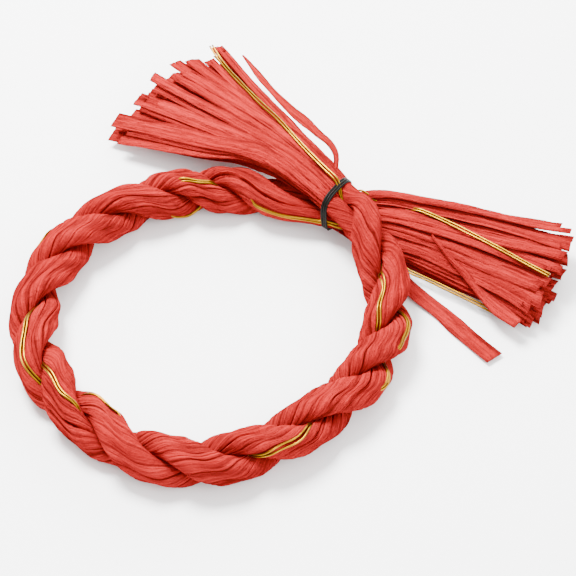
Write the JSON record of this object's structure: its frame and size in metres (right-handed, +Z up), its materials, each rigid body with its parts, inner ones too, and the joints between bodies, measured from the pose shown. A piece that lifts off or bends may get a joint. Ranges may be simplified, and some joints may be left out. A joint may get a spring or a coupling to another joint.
{
  "type": "straw rope ring ornament",
  "caption": "Ring of twisted red paper-straw rope with gold cords, its crossed ends bound by a wire and fanning out as two cut-ribbon tassels.",
  "frame": {"origin": "middle of the part's box, on the floor it lies on", "axes": "+Z up out of the ring, +X to the right of the picture towards the right tassel, +Y away from the picture's viewer towards the left tassel"},
  "size_m": [0.2178, 0.222, 0.0295],
  "materials": {
    "paper_straw": "satin",
    "gold_foil": "bright",
    "dark_wire": "satin"
  },
  "bodies": {
    "root": {"straw_strand_1": "paper_straw", "straw_strand_2": "paper_straw", "gold_cord_1": "gold_foil", "gold_cord_2": "gold_foil", "tie_wire": "dark_wire"}
  },
  "joints": []
}
